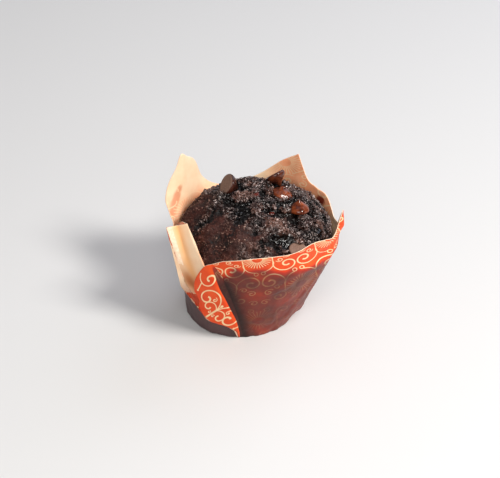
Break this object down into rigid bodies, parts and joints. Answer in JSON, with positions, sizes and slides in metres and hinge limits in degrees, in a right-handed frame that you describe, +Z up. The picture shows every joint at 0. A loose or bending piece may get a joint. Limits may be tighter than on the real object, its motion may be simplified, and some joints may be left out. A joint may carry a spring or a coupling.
{
  "type": "muffin in a tulip paper wrap",
  "caption": "Domed chocolate muffin with chocolate chips, standing in a pleated tulip paper wrap with four uneven petals and one folded pleat at the front left.",
  "frame": {"origin": "centre of the wrap's flat base, on the table", "axes": "+Z up; the muffin leans towards +X; the low straight rim faces -Y, the pleat is at the front left (-X, -Y), two tall petals stand at the back (+Y)"},
  "size_m": [0.0791, 0.0757, 0.0679],
  "materials": {
    "cake": "dark chocolate muffin crumb, rough and matt with sugary specks",
    "wrap_paper": "greaseproof paper, printed outside with pale scrollwork, cream inside, darkened by fat where it touches the muffin",
    "chocolate": "baked chocolate, satin"
  },
  "bodies": {
    "root": {"muffin_cake": "cake", "paper_wrap": "wrap_paper", "chip_1": "chocolate", "chip_2": "chocolate", "chip_3": "chocolate", "chip_4": "chocolate", "chip_5": "chocolate", "chip_6": "chocolate", "chip_7": "chocolate", "chip_8": "chocolate"}
  },
  "joints": []
}
